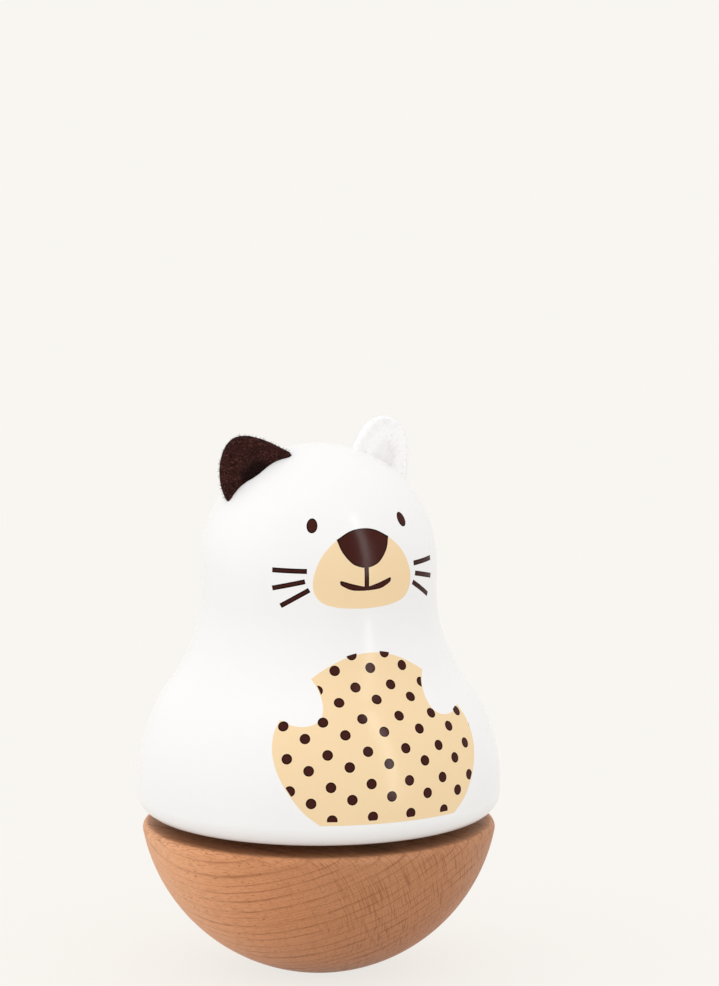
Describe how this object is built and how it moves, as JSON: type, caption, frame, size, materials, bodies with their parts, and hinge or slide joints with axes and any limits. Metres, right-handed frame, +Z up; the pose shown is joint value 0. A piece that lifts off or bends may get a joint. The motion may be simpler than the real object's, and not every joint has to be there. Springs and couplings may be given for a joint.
{
  "type": "music box",
  "caption": "Turned wooden animal figure with felt ears that twists on a weighted round base to wind a comb music movement, then turns slowly as the tune plays.",
  "frame": {"origin": "centre of the small standing flat under the base", "axes": "+Z up along the winding axis, the printed face looks along -Y, +X to the figure's left"},
  "size_m": [0.09, 0.09, 0.1362],
  "materials": {
    "beech": "satin oiled",
    "white_lacquer": "gloss lacquer",
    "plywood": "sanded",
    "brown_felt": "fuzzy felt",
    "white_felt": "fuzzy felt",
    "nylon": "matt",
    "weight_steel": "blackened",
    "steel": "bright",
    "spring_steel": "blued",
    "zinc": "die-cast",
    "brass": "turned"
  },
  "bodies": {
    "base": {"base_bowl": "beech", "base_weight": "weight_steel", "base_plug": "beech", "threaded_insert": "brass", "winding_shaft": "steel", "lock_nut": "steel", "thrust_washer": "nylon", "spring_arbor": "steel", "crown_wheel": "brass", "ratchet_wheel": "steel", "click": "steel", "click_rivet": "brass", "click_spring": "spring_steel", "retaining_clip": "spring_steel"},
    "figure": {"body_shell": "white_lacquer", "ear_brown": "brown_felt", "ear_white": "white_felt", "mounting_board": "plywood", "board_screws": "steel", "bedplate": "zinc", "bedplate_screws": "steel", "shaft_bush": "brass", "spring_barrel": "steel", "barrel_lid": "steel", "mainspring": "spring_steel", "bearing_post_left": "zinc", "bearing_post_right": "zinc", "post_screws": "steel", "comb_block": "zinc", "comb": "steel", "comb_screws": "steel", "governor_frame": "zinc", "governor_screw": "steel"},
    "tune_cylinder": {"cylinder_drum": "brass", "drum_end_caps": "brass", "cylinder_gear": "brass", "cylinder_axle": "steel"},
    "governor_wheel": {"governor_arbor": "brass", "worm_wheel": "nylon"},
    "fly": {"worm_shaft": "brass", "fly_vane": "nylon"}
  },
  "joints": [
    {"name": "figure_twist", "type": "hinge", "parent": "base", "child": "figure", "pos_m": [0, 0, 0.0397], "axis": [0, 0, 1], "continuous": true},
    {"name": "cylinder_turn", "type": "hinge", "parent": "figure", "child": "tune_cylinder", "pos_m": [0, 0, 0.06462], "axis": [1, 0, 0], "continuous": true},
    {"name": "governor_turn", "type": "hinge", "parent": "figure", "child": "governor_wheel", "pos_m": [0, 0.01003, 0.06142], "axis": [1, 0, 0], "continuous": true},
    {"name": "fly_spin", "type": "hinge", "parent": "figure", "child": "fly", "pos_m": [0.018, 0.01828, 0.0467], "axis": [0, 0, 1], "continuous": true}
  ],
  "couplings": [
    {"joint": "cylinder_turn", "follows": "figure_twist", "ratio": -1.6},
    {"joint": "governor_turn", "follows": "figure_twist", "ratio": 4},
    {"joint": "fly_spin", "follows": "figure_twist", "ratio": -100}
  ]
}
